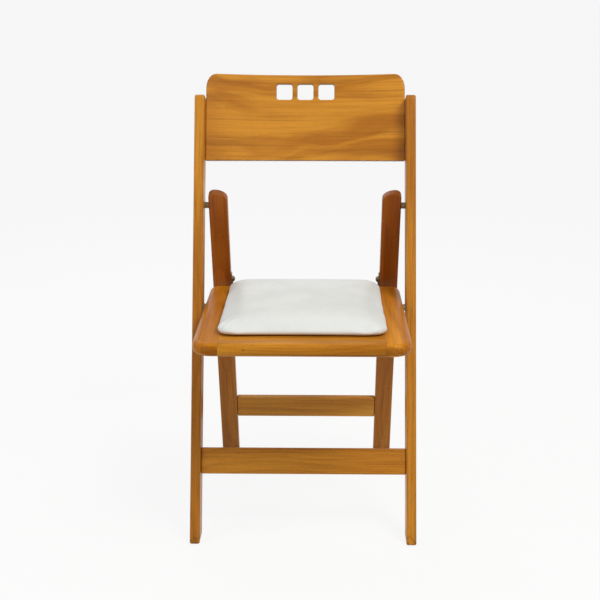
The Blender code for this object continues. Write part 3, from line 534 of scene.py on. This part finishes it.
def bent_ply(name):
    """Rotary-cut veneer with broad flames, and the plies bare along every cut edge."""
    tree = material_tree(name)
    through = ALONG_STILE.cross(ACROSS_CHAIR)
    grain = grain_space(tree, ACROSS_CHAIR, ALONG_STILE)
    flame_place = tree.bent(grain, FLAME_SCALES, FLAME_BEND_SCALES, FLAME_BEND)
    flames = tree.noise(flame_place, FLAME_RATE, detail=4.0, rough=0.5, warp=0.7)
    streaks = tree.noise(tree.stretch(grain, STREAK_SCALES), detail=4.0, rough=0.6)
    lines = tree.noise(tree.stretch(grain, LINE_SCALES), detail=3.0, rough=0.55)
    fibres = tree.noise(tree.stretch(grain, PLY_FIBRE_SCALES), detail=3.0, rough=0.6)
    flecks = tree.noise(tree.stretch(grain, PLY_FLECK_SCALES), detail=1.0)
    flecks = tree.span(flecks, *PLY_FLECK_SPAN)

    colour = tree.mix(tree.span(flames, *FLAME_SPAN), HONEY, HONEY_BRIGHT)
    streaked = tree.span(streaks, *STREAK_SPAN, to_high=STREAK_DARKENS)
    colour = tree.mix(streaked, colour, HONEY_DARK)
    lined = tree.span(lines, *LINE_SPAN, to_high=LINE_DARKENS)
    colour = tree.mix(lined, colour, HONEY_DARK)
    darkened = tree.span(fibres, *FIBRE_DARK_SPAN, to_high=PLY_FIBRE_DARKENS)
    colour = tree.mix(darkened, colour, HONEY_DARK)
    brightened = tree.span(fibres, *FIBRE_PALE_SPAN, to_high=PLY_FIBRE_BRIGHTENS)
    colour = tree.mix(brightened, colour, HONEY_BRIGHT)
    colour = tree.mix(tree.times(flecks, PLY_FLECK_DARKENS), colour, BARK_BROWN)

    cut = tree.span(tree.math("ABSOLUTE", tree.dot(tree.facing(), through)), *PLY_CUT_SPAN)
    colour = tree.mix(tree.times(cut, PLY_CUT_SHOWS), colour, ply_layers(tree, through))

    patches = tree.noise(grain, RUB_RATE, detail=3.0)
    rubbed = tree.times(tree.edges(PLY_RUB_WIDTH), tree.span(patches, *PLY_RUB_SPAN))
    colour = tree.mix(tree.times(rubbed, PLY_RUB_SHOWS), colour, BARE_BEECH)
    sheen_drift = tree.noise(grain, PLY_SHEEN_RATE, detail=4.0, rough=0.6)
    roughness = tree.span(sheen_drift, *SHEEN_SPAN, *PLY_ROUGHNESS)
    roughness = tree.math("ADD", roughness, tree.times(rubbed, PLY_WEAR_DULLS))
    pits = tree.times(flecks, PLY_FLECK_RELIEF)
    relief = tree.math("SUBTRACT", tree.times(fibres, FIBRE_RELIEF), pits)
    return tree.finish(
        colour, roughness, tree.bump(relief, *PLY_RELIEF), specular_ior_level=FRAME_GLOSS,
        coat_weight=PLY_COAT, coat_roughness=PLY_COAT_ROUGHNESS, coat_ior=COAT_IOR,
    )


def vinyl(name):
    """White upholstery vinyl: a fine pebbled grain, a little soiling low on its sides."""
    tree = material_tree(name)
    place = tree.place()
    pebbles = tree.cells(place, PEBBLE_RATE).outputs["Distance"]
    pores = tree.noise(place, PORE_RATE)
    clouds = tree.noise(place, CLOUD_RATE, detail=4.0, rough=0.6)
    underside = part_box("seat_cushion")[0].z
    low_down = tree.span(tree.dot(place, UPWARD), underside + SOILED_HEIGHT, underside)
    smears = tree.noise(place, SOILED_RATE, detail=4.0, rough=0.6)
    soiled = tree.times(low_down, tree.span(smears, *SOILED_SPAN))

    colour = tree.mix(tree.span(clouds, *CLOUD_SPAN), VINYL_WHITE, VINYL_GREY)
    pebbled = tree.times(tree.span(pebbles, *PEBBLE_SPAN), PEBBLE_DARKENS)
    colour = tree.mix(pebbled, colour, PEBBLE_GREY)
    colour = tree.mix(tree.times(soiled, SOILED_SHOWS), colour, SOILED_BROWN)
    roughness = tree.span(clouds, *SHEEN_SPAN, *VINYL_ROUGHNESS)
    relief = tree.math("SUBTRACT", tree.times(pores, PORE_RELIEF), pebbles)
    return tree.finish(
        colour, roughness, tree.bump(relief, *VINYL_RELIEF), sheen_weight=VINYL_SHEEN,
        coat_weight=VINYL_COAT, coat_roughness=VINYL_COAT_ROUGHNESS,
    )


def dark_steel(name):
    """Old plated steel: a faint crystal spangle, turning marks and patches of grime."""
    tree = material_tree(name)
    place = tree.place()
    spangle = tree.dot(tree.cells(place, SPANGLE_RATE).outputs["Color"], UNEVEN_SUM)
    scratches = tree.noise(tree.stretch(place, SCRATCH_SCALES), detail=3.0, rough=0.6)
    grime = tree.noise(place, GRIME_RATE, detail=4.0, rough=0.65)
    grime = tree.span(grime, *GRIME_SPAN)
    colour = tree.mix(tree.span(spangle, *SPANGLE_SPAN), STEEL_DARK, STEEL_PALE)
    colour = tree.mix(tree.times(grime, GRIME_DARKENS), colour, STEEL_GRIME)
    roughness = tree.span(scratches, *SHEEN_SPAN, *STEEL_ROUGHNESS)
    roughness = tree.math("ADD", roughness, tree.times(grime, GRIME_DULLS))
    return tree.finish(colour, roughness, tree.bump(scratches, *STEEL_RELIEF), metallic=1.0)


def moulded_plastic(name):
    """Dark glides, scuffed grey by the floor."""
    tree = material_tree(name)
    place = tree.place()
    texture = tree.noise(place, PLASTIC_RATE, detail=3.0, rough=0.6)
    scuffs = tree.noise(tree.stretch(place, PLASTIC_SCUFF_SCALES), detail=4.0, rough=0.65)
    scuffed = tree.times(tree.span(scuffs, *PLASTIC_SCUFF_SPAN), PLASTIC_SCUFF_SHOWS)
    colour = tree.mix(scuffed, PLASTIC_DARK, PLASTIC_GREY)
    roughness = tree.span(texture, *PLASTIC_SPAN, *PLASTIC_ROUGHNESS)
    return tree.finish(colour, roughness, tree.bump(texture, *PLASTIC_RELIEF))


def wooden_pieces():
    """The wood of each wooden piece, with the grain of each at a place of its own."""
    return {
        "stile_left": lacquered_wood(
            "honey_stile_left", ALONG_STILE, ACROSS_CHAIR, (0.3, 0.11, 0.0)),
        "stile_right": lacquered_wood(
            "honey_stile_right", ALONG_STILE, ACROSS_CHAIR, (1.7, 0.0, 0.05)),
        "front_rail": lacquered_wood(
            "honey_front_rail", ACROSS_CHAIR, ALONG_STILE, (0.0, 0.04, 0.02)),
        # The rear legs carry painted shade above and painted floor light low down
        "rear_leg_left": lacquered_wood(
            "honey_leg_left", ALONG_LEG, ACROSS_CHAIR, (0.9, 0.02, 0.07), LEG_STAIN_AND_SHADE, LEG_LOW_PAINTED_LIGHT),
        "rear_leg_right": lacquered_wood(
            "honey_leg_right", ALONG_LEG, ACROSS_CHAIR, (2.9, 0.06, 0.03), LEG_STAIN_AND_SHADE, LEG_LOW_PAINTED_LIGHT),
        # The rear rail's tone is painted light
        "rear_rail": lacquered_wood(
            "honey_rear_rail", ACROSS_CHAIR, ALONG_LEG, (1.1, 0.03, 0.09), RAIL_PAINTED_LIGHT),
        "seat_board": lacquered_wood(
            "honey_seat", ACROSS_CHAIR, FRONT_TO_BACK, (0.6, 0.09, 0.01), gloss=SEAT_GLOSS),
        "seat_side_left": lacquered_wood(
            "honey_side_left", FRONT_TO_BACK, ACROSS_CHAIR, (0.2, 0.08, 0.0), SIDE_TONE,
            gloss=SEAT_GLOSS),
        "seat_side_right": lacquered_wood(
            "honey_side_right", FRONT_TO_BACK, ACROSS_CHAIR, (2.2, 0.02, 0.04), SIDE_TONE,
            gloss=SEAT_GLOSS),
    }


def dress_frame(steel):
    """Give the frame's own pieces their finish, in place of the plain one they came with."""
    woods = wooden_pieces()
    ply = bent_ply("honey_ply_bent")
    by_slot = {
        "steel": steel, "plastic": moulded_plastic("glide_plastic"), "ply": ply, "vinyl": ply,
    }
    for entry in frame["record"]["subparts"]:
        node = entry["node"]
        finish = woods[node] if node in woods else by_slot[entry["material_slot"]]
        for slot in NODES[node].material_slots:
            slot.link = "OBJECT"
            slot.material = finish


def linked(name, data):
    piece = bpy.data.objects.new(name, data)
    bpy.context.scene.collection.objects.link(piece)
    return piece


def baked(piece):
    """Work the piece's modifiers into its mesh."""
    bpy.context.view_layer.update()
    solid = piece.evaluated_get(bpy.context.evaluated_depsgraph_get())
    mesh = bpy.data.meshes.new_from_object(solid)
    piece.modifiers.clear()
    piece.data = mesh


def reach_of(mesh):
    """Lowest and highest corner of a mesh."""
    places = [vertex.co for vertex in mesh.vertices]
    low = Vector([min(place[axis] for place in places) for axis in range(3)])
    high = Vector([max(place[axis] for place in places) for axis in range(3)])
    return low, high


def fit_to_box(mesh, low, high):
    """Stretch a mesh so that it just fills a box."""
    from_low, from_high = reach_of(mesh)
    for vertex in mesh.vertices:
        for axis in range(3):
            share = (vertex.co[axis] - from_low[axis]) / (from_high[axis] - from_low[axis])
            vertex.co[axis] = low[axis] + share * (high[axis] - low[axis])


def pad_blank(low):
    """The pad's CAD form with the pocket for its base filled, in an even and soft skin."""
    base_low, base_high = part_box("cushion_base")
    mesh = NODES["seat_cushion"].data.copy()
    mesh.materials.clear()
    pad = linked("seat_pad", mesh)
    reach = PAD_GRIP / 2
    for vertex in mesh.vertices:
        place = vertex.co
        over_x = abs(place.x) < base_high.x + reach
        over_y = base_low.y - reach < place.y < base_high.y + reach
        if over_x and over_y and place.z < base_high.z + reach:
            place.z = low.z
    remesh = pad.modifiers.new("even_skin", "REMESH")
    remesh.mode = "VOXEL"
    remesh.voxel_size = PAD_VOXEL
    smooth = pad.modifiers.new("soft_skin", "SMOOTH")
    smooth.iterations = PAD_SMOOTHING
    baked(pad)
    return pad


def stuffed_pad():
    """The seat pad: the frame's own form, slightly small, blown up as cloth over its base."""
    low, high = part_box("seat_cushion")
    pad = pad_blank(low)
    middle = Vector(((low.x + high.x) / 2, (low.y + high.y) / 2, low.z))
    fit_to_box(
        pad.data, middle + (low - middle) * PAD_START, middle + (high - middle) * PAD_START)
    start = [vertex.co.copy() for vertex in pad.data.vertices]
    inflate(pad, low.z)
    for vertex, before in zip(pad.data.vertices, start):
        move = vertex.co - before
        vertex.co = before + move * min(1.0, PAD_SWELL / max(move.length, PAD_SWELL))
    settle = pad.modifiers.new("settled_skin", "SMOOTH")
    settle.iterations = PAD_SETTLING
    finer = pad.modifiers.new("finer_skin", "SUBSURF")
    finer.levels = 1
    baked(pad)
    fit_to_box(pad.data, low, high + PAD_PROUD)
    crease_cover(pad, low, high)
    pad.data.shade_smooth()
    pad.data.materials.append(vinyl("white_vinyl_grained"))
    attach(pad, "seat")
    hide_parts("seat_cushion", "cushion_base")


def inflate(pad, floor):
    """Blow the pad up, held where its cover is drawn under the base."""
    held = pad.vertex_groups.new(name="held")
    low_down = [vertex.index for vertex in pad.data.vertices if vertex.co.z < floor + PAD_GRIP]
    held.add(low_down, 1.0, "ADD")
    cloth = pad.modifiers.new("cover", "CLOTH")
    settings = cloth.settings
    settings.quality = COVER_QUALITY
    settings.mass = COVER_MASS
    settings.tension_stiffness = COVER_TENSION
    settings.compression_stiffness = COVER_COMPRESSION
    settings.bending_stiffness = COVER_BENDING
    settings.use_pressure = True
    settings.uniform_pressure_force = PAD_PRESSURE
    settings.vertex_group_mass = "held"
    settings.effector_weights.gravity = 0.0
    cloth.point_cache.frame_end = PAD_FRAMES
    scene = bpy.context.scene
    for number in range(1, PAD_FRAMES + 1):
        scene.frame_set(number)
    baked(pad)
    scene.frame_set(1)


def crease_cover(pad, low, high):
    """Gathers where the cover is folded under at the corners, slack sides and soft creases."""
    middle = (low + high) / 2
    half = (high - low) / 2
    height = high.z - low.z
    lines = []
    for start, end, depth, width in CREASES:
        first = Vector((middle.x + start[0] * half.x, middle.y + start[1] * half.y))
        last = Vector((middle.x + end[0] * half.x, middle.y + end[1] * half.y))
        lines.append((first, last - first, depth, width))
    for vertex in pad.data.vertices:
        place = vertex.co
        share = Vector(((place.x - middle.x) / half.x, (place.y - middle.y) / half.y))
        rise = (place.z - low.z) / height
        near_corner = max(0.0, min(abs(share.x), abs(share.y)) - GATHER_FROM) / (1.0 - GATHER_FROM)
        turn = math.atan2(abs(share.y), abs(share.x)) - math.pi / 4
        fold = math.sin(turn * GATHER_RATE) * near_corner * max(0.0, 1.0 - rise / GATHER_TOP)
        slack = noise.noise(place * SLACK_RATES)
        rim = max(abs(share.x), abs(share.y)) ** SLACK_RIM_POWER
        outward = Vector((share.x, share.y, COVER_LIFT)).normalized()
        move = outward * (fold * GATHER_DEPTH + slack * rim * SLACK_DEPTH)
        for first, along, depth, width in lines:
            arm = Vector(place[:2]) - first
            reach = min(1.0, max(0.0, arm.dot(along) / along.length_squared))
            away = (arm - along * reach).length / width
            fading = rise * (1.0 - reach * CREASE_FADE)
            move.z -= depth * fading * (1.0 - away ** 2) * math.exp(-away ** 2)
        place += move
        place.z = max(place.z, low.z)


Form = namedtuple("Form", "axis others centre top tip way head_radius shank_radius head_height")


def fastener_form(node):
    """Axis, ends, radii and head height of a turned fastener, read off its solid."""
    low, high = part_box(node)
    size = high - low
    axis = max(range(3), key=lambda index: size[index])
    others = [index for index in range(3) if index != axis]
    centre = (low + high) / 2
    rings = {}
    for vertex in NODES[node].data.vertices:
        arm = vertex.co - centre
        arm[axis] = 0.0
        along = round(vertex.co[axis], RING_DECIMALS)
        rings[along] = max(rings.get(along, 0.0), arm.length)
    head_radius = max(rings.values())
    shank_radius = min(rings.values())
    between = (head_radius + shank_radius) / 2
    head = [along for along, radius in rings.items() if radius > between]
    ends = (low[axis], high[axis])
    top = min(ends, key=lambda end: min(abs(end - along) for along in head))
    tip = ends[0] if top == ends[1] else ends[1]
    way = 1.0 if top > tip else -1.0
    head_height = max(head) - min(head)
    return Form(axis, others, centre, top, tip, way, head_radius, shank_radius, head_height)


def lofted(name, form, levels):
    """A closed solid through outlines, each at its place along the fastener's axis."""
    bm = bmesh.new()
    rings = []
    for along, outline in levels:
        ring = []
        for point in outline:
            place = form.centre.copy()
            place[form.axis] = along
            place[form.others[0]] += point.x
            place[form.others[1]] += point.y
            ring.append(bm.verts.new(place))
        rings.append(ring)
    for ring, following in zip(rings, rings[1:]):
        for index in range(len(ring)):
            after = (index + 1) % len(ring)
            bm.faces.new((ring[index], ring[after], following[after], following[index]))
    bm.faces.new(rings[0])
    bm.faces.new(rings[-1])
    bmesh.ops.recalc_face_normals(bm, faces=bm.faces)
    mesh = bpy.data.meshes.new(name)
    bm.to_mesh(mesh)
    bm.free()
    return linked(name, mesh)


def regular_outline(sides, radius):
    turns = [2 * math.pi * side / sides for side in range(sides)]
    return [Vector((radius * math.cos(turn), radius * math.sin(turn))) for turn in turns]


def cross_outline(radius):
    arm = radius * CROSS_ARM_SHARE
    points = []
    for quarter in range(4):
        turn = Matrix.Rotation(math.pi / 2 * quarter, 2)
        points += [turn @ Vector(point) for point in ((arm, -arm), (radius, -arm), (radius, arm))]
    return points


def cut_drive(piece, kind, form):
    """Sink a drive into the head: a cross for screws, a hexagon for bolts."""
    if kind == "hex":
        outline = regular_outline(HEX_SIDES, form.head_radius * HEX_REACH_SHARE)
    else:
        outline = cross_outline(form.head_radius * CROSS_REACH_SHARE)
    depth = form.way * form.head_height * DRIVE_DEPTH_SHARE
    cutter = lofted("drive", form, ((form.top + depth, outline), (form.top - depth, outline)))
    cut = piece.modifiers.new("drive", "BOOLEAN")
    cut.operation = "DIFFERENCE"
    cut.solver = "EXACT"
    cut.object = cutter
    baked(piece)
    bpy.data.objects.remove(cutter)


def dressed_fastener(node, kind, steel):
    """A fastener with an eased head and its drive cut in, in place of its plain solid."""
    form = fastener_form(node)
    neck = form.top - form.way * form.head_height
    ease = form.head_height * HEAD_EASE_SHARE
    shank = form.shank_radius
    profile = (
        (form.tip, shank * TIP_RADIUS_SHARE),
        (form.tip + form.way * shank * TIP_LENGTH_SHARE, shank),
        (neck, shank),
        (neck, form.head_radius),
        (form.top - form.way * ease, form.head_radius),
        (form.top - form.way * ease * CROWN_DROP_SHARE,
         form.head_radius - ease * CROWN_INSET_SHARE),
        (form.top, form.head_radius - ease),
    )
    levels = [(along, regular_outline(TURNED_SIDES, radius)) for along, radius in profile]
    piece = lofted(node + "_turned", form, levels)
    if kind:
        cut_drive(piece, kind, form)
    piece.data.shade_smooth()
    piece.data.set_sharp_from_angle(angle=SHARP_ANGLE)
    piece.data.materials.clear()
    piece.data.materials.append(steel)
    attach(piece, NODES[node]["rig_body"])
    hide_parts(node)


def dress_fasteners(steel):
    for node in sorted(NODES):
        if "screw" in node:
            dressed_fastener(node, "cross", steel)
        elif "bolt" in node:
            dressed_fastener(node, "hex", steel)
        elif "pin" in node:
            dressed_fastener(node, None, steel)


def seen_directly(tree):
    """1 for rays from the camera, or by way of a shiny or clear surface."""
    path = tree.add("LightPath", {}, {})
    seen = tree.math("ADD", path.outputs["Is Camera Ray"], path.outputs["Is Glossy Ray"])
    seen = tree.math("ADD", seen, path.outputs["Is Transmission Ray"])
    return tree.math("MINIMUM", seen, 1.0)


def make_floor():
    """A floor that looks nearly white, and keeps the chair's soft shadow."""
    bm = bmesh.new()
    bmesh.ops.create_grid(bm, x_segments=1, y_segments=1, size=FLOOR_HALF)
    mesh = bpy.data.meshes.new("studio_floor")
    bm.to_mesh(mesh)
    bm.free()
    floor = linked("studio_floor", mesh)
    floor.location.z = -FLOOR_CLEAR
    tree = material_tree("studio_floor")
    seen = seen_directly(tree)
    tree.feed(tree.shader.inputs["Base Color"], tree.mix(seen, FLOOR_BOUNCE, FLOOR_PALE))
    tree.feed(tree.shader.inputs["Roughness"], FLOOR_ROUGHNESS)
    glow = tree.add("Emission", {}, {"Color": (1.0, 1.0, 1.0), "Strength": 1.0})
    both = tree.add("MixShader", {}, {})
    tree.feed(both.inputs[0], tree.times(seen, FLOOR_GLOW))
    tree.feed(both.inputs[1], tree.shader.outputs[0])
    tree.feed(both.inputs[2], glow.outputs[0])
    tree.feed(tree.nodes["Material Output"].inputs["Surface"], both.outputs[0])
    floor.data.materials.append(tree.owner)


def set_world():
    """Even grey light all round, and as pale as the far floor where the camera sees it."""
    world = bpy.data.worlds.new("studio")
    bpy.context.scene.world = world
    tree = Tree(world)
    background = tree.nodes["Background"]
    background.inputs["Color"].default_value = (1.0, 1.0, 1.0, 1.0)
    strength = tree.span(seen_directly(tree), 0.0, 1.0, WORLD_LEVEL, FAR_FLOOR)
    tree.links.new(strength, background.inputs["Strength"])


def add_lamps():
    """Square lamps, all turned to the middle of the chair."""
    middle = (CAD_BOX[0] + CAD_BOX[1]) / 2
    for name, place, side, power, colour in LAMPS:
        lamp = bpy.data.lights.new(name, "AREA")
        lamp.shape = "SQUARE"
        lamp.size = side
        lamp.energy = power
        lamp.color = colour
        holder = linked(name, lamp)
        holder.location = place
        holder.rotation_mode = "QUATERNION"
        holder.rotation_quaternion = (middle - place).to_track_quat("-Z", "Y")


def add_camera():
    data = bpy.data.cameras.new("photo_camera")
    data.lens = LENS
    data.sensor_width = SENSOR
    data.shift_x = (PHOTO_SIDE / 2 - CHAIR_PIXEL) / PHOTO_SIDE
    camera = linked("photo_camera", data)
    in_front = Vector((0.0, -CAMERA_REACH, CAMERA_HEIGHT))
    camera.location = Matrix.Rotation(CAMERA_TURN, 3, "Z") @ in_front
    camera.rotation_euler = (math.pi / 2 - CAMERA_PITCH, 0.0, CAMERA_TURN)
    bpy.context.scene.camera = camera


steel = dark_steel("dark_steel_worn")
dress_frame(steel)
stuffed_pad()
dress_fasteners(steel)
make_floor()
set_world()
add_lamps()
add_camera()
bpy.context.scene.view_settings.view_transform = "Standard"
